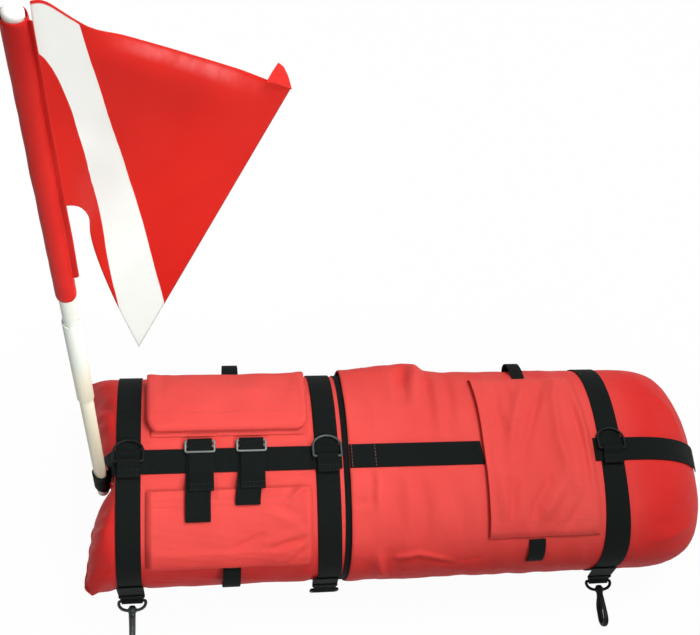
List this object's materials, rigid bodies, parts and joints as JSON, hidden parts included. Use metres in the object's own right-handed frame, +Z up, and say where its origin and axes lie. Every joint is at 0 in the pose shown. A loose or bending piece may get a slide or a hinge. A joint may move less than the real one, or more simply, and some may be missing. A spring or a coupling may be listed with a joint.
{
  "type": "dive flag float",
  "caption": "Inflatable float in a strapped nylon cover with pockets, D-rings and swivel hooks, and a mast that carries a diver-down flag.",
  "frame": {"origin": "on the ground, under the middle of the nose cover's flat underside", "axes": "+X along the float to its rounded nose, +Y to the far side, away from the swivel hooks, +Z up"},
  "size_m": [0.8188, 0.4241, 0.9019],
  "materials": {
    "cover_red": "coated nylon, satin",
    "webbing_black": "woven webbing",
    "cloth_red": "thin flag nylon",
    "mast_white": "smooth",
    "plug_white": "moulded",
    "rubber_black": "matt",
    "ring_black": "satin black",
    "bare_steel": "dull steel",
    "buckle_silver": "satin nickel",
    "bladder_amber": "airtight film"
  },
  "bodies": {
    "float": {"bladder": "bladder_amber", "box_pocket": "cover_red", "closure_band": "webbing_black", "far_loop_nose": "webbing_black", "far_loop_tail": "webbing_black", "flap_run": "webbing_black", "flat_pocket": "cover_red", "gear_layer_a": "webbing_black", "gear_layer_b": "webbing_black", "gear_strap_a": "webbing_black", "gear_strap_b": "webbing_black", "hook_tab_nose": "webbing_black", "hook_tab_tail": "webbing_black", "mast_loop": "webbing_black", "mid_strap": "webbing_black", "mid_tab": "webbing_black", "near_loop_nose": "webbing_black", "near_loop_tail": "webbing_black", "nose_cover": "cover_red", "nose_run": "webbing_black", "nose_strap": "webbing_black", "ring_tab_mid": "webbing_black", "ring_tab_nose": "webbing_black", "ring_tab_tail": "webbing_black", "side_pocket": "cover_red", "tail_cover": "cover_red", "tail_run": "webbing_black", "tail_strap": "webbing_black", "tri_glide_a": "buckle_silver", "tri_glide_b": "buckle_silver", "valve_stem": "plug_white"},
    "tail_ring": {"d_ring_tail": "ring_black"},
    "mid_ring": {"d_ring_mid": "bare_steel"},
    "nose_ring": {"d_ring_nose": "ring_black"},
    "pocket_flap": {"box_pocket_flap": "cover_red"},
    "tail_eye": {"hook_eye_tail": "bare_steel"},
    "nose_eye": {"hook_eye_nose": "ring_black"},
    "tail_hook": {"hook_tail": "bare_steel"},
    "nose_hook": {"hook_nose": "ring_black"},
    "tail_gate": {"gate_tail": "bare_steel"},
    "nose_gate": {"gate_nose": "ring_black"},
    "mid_eye_bar": {"mid_eye": "ring_black"},
    "low_mast": {"mast_foot_plug": "rubber_black", "mast_lower": "mast_white", "mast_socket": "mast_white"},
    "top_mast": {"mast_cap": "mast_white", "mast_upper": "mast_white"},
    "flag": {"flag_cloth": "cloth_red", "flag_sleeve": "cloth_red"},
    "plug": {"valve_plug": "plug_white"}
  },
  "joints": [
    {"name": "tail_ring_swing", "type": "hinge", "parent": "float", "child": "tail_ring", "pos_m": [-0.3635, 0, 0.1813], "axis": [1, 0, 0], "range_deg": [0, 175]},
    {"name": "mid_ring_swing", "type": "hinge", "parent": "float", "child": "mid_ring", "pos_m": [-0.123, 0, 0.1813], "axis": [1, 0, 0], "range_deg": [0, 175]},
    {"name": "nose_ring_swing", "type": "hinge", "parent": "float", "child": "nose_ring", "pos_m": [0.245, 0, 0.184], "axis": [1, 0, 0], "range_deg": [0, 175]},
    {"name": "pocket_flap_lift", "type": "hinge", "parent": "float", "child": "pocket_flap", "pos_m": [-0.24325, 0.1088, 0.14389], "axis": [-1, 0, 0], "range_deg": [0, 95]},
    {"name": "tail_eye_lift", "type": "hinge", "parent": "float", "child": "tail_eye", "pos_m": [-0.3635, -0.1376, 0.0135], "axis": [-1, 0, 0], "range_deg": [0, 50]},
    {"name": "nose_eye_lift", "type": "hinge", "parent": "float", "child": "nose_eye", "pos_m": [0.265, -0.1403, 0.0135], "axis": [-1, 0, 0], "range_deg": [0, 50]},
    {"name": "tail_hook_swivel", "type": "hinge", "parent": "tail_eye", "child": "tail_hook", "pos_m": [-0.3635, -0.1534, 0.0135], "axis": [0, 1, 0], "continuous": true},
    {"name": "nose_hook_swivel", "type": "hinge", "parent": "nose_eye", "child": "nose_hook", "pos_m": [0.265, -0.1561, 0.0135], "axis": [0, 1, 0], "continuous": true},
    {"name": "tail_gate_press", "type": "hinge", "parent": "tail_hook", "child": "tail_gate", "pos_m": [-0.3635, -0.15915, 0.01852], "axis": [1, 0, 0], "range_deg": [0, 28], "stiffness_Nm_per_rad": 0.05, "springref_deg": -17.19},
    {"name": "nose_gate_press", "type": "hinge", "parent": "nose_hook", "child": "nose_gate", "pos_m": [0.265, -0.16185, 0.01852], "axis": [1, 0, 0], "range_deg": [0, 28], "stiffness_Nm_per_rad": 0.05, "springref_deg": -17.19},
    {"name": "mid_eye_swing", "type": "hinge", "parent": "float", "child": "mid_eye_bar", "pos_m": [-0.117, -0.1376, 0.034], "axis": [-1, 0, 0], "range_deg": [0, 170]},
    {"name": "mast_lift", "type": "slide", "parent": "float", "child": "low_mast", "axis": [-0.0081, 0.1191, 0.9928], "range_m": [0, 0.058]},
    {"name": "upper_mast_pull", "type": "slide", "parent": "low_mast", "child": "top_mast", "axis": [-0.0081, 0.1191, 0.9928], "range_m": [0, 0.079]},
    {"name": "flag_turn", "type": "hinge", "parent": "top_mast", "child": "flag", "pos_m": [-0.40074, 0.04274, 0.56862], "axis": [-0.0081, 0.1191, 0.9928], "continuous": true},
    {"name": "plug_pull", "type": "slide", "parent": "float", "child": "plug", "axis": [-1, 0, 0], "range_m": [0, 0.004]}
  ]
}
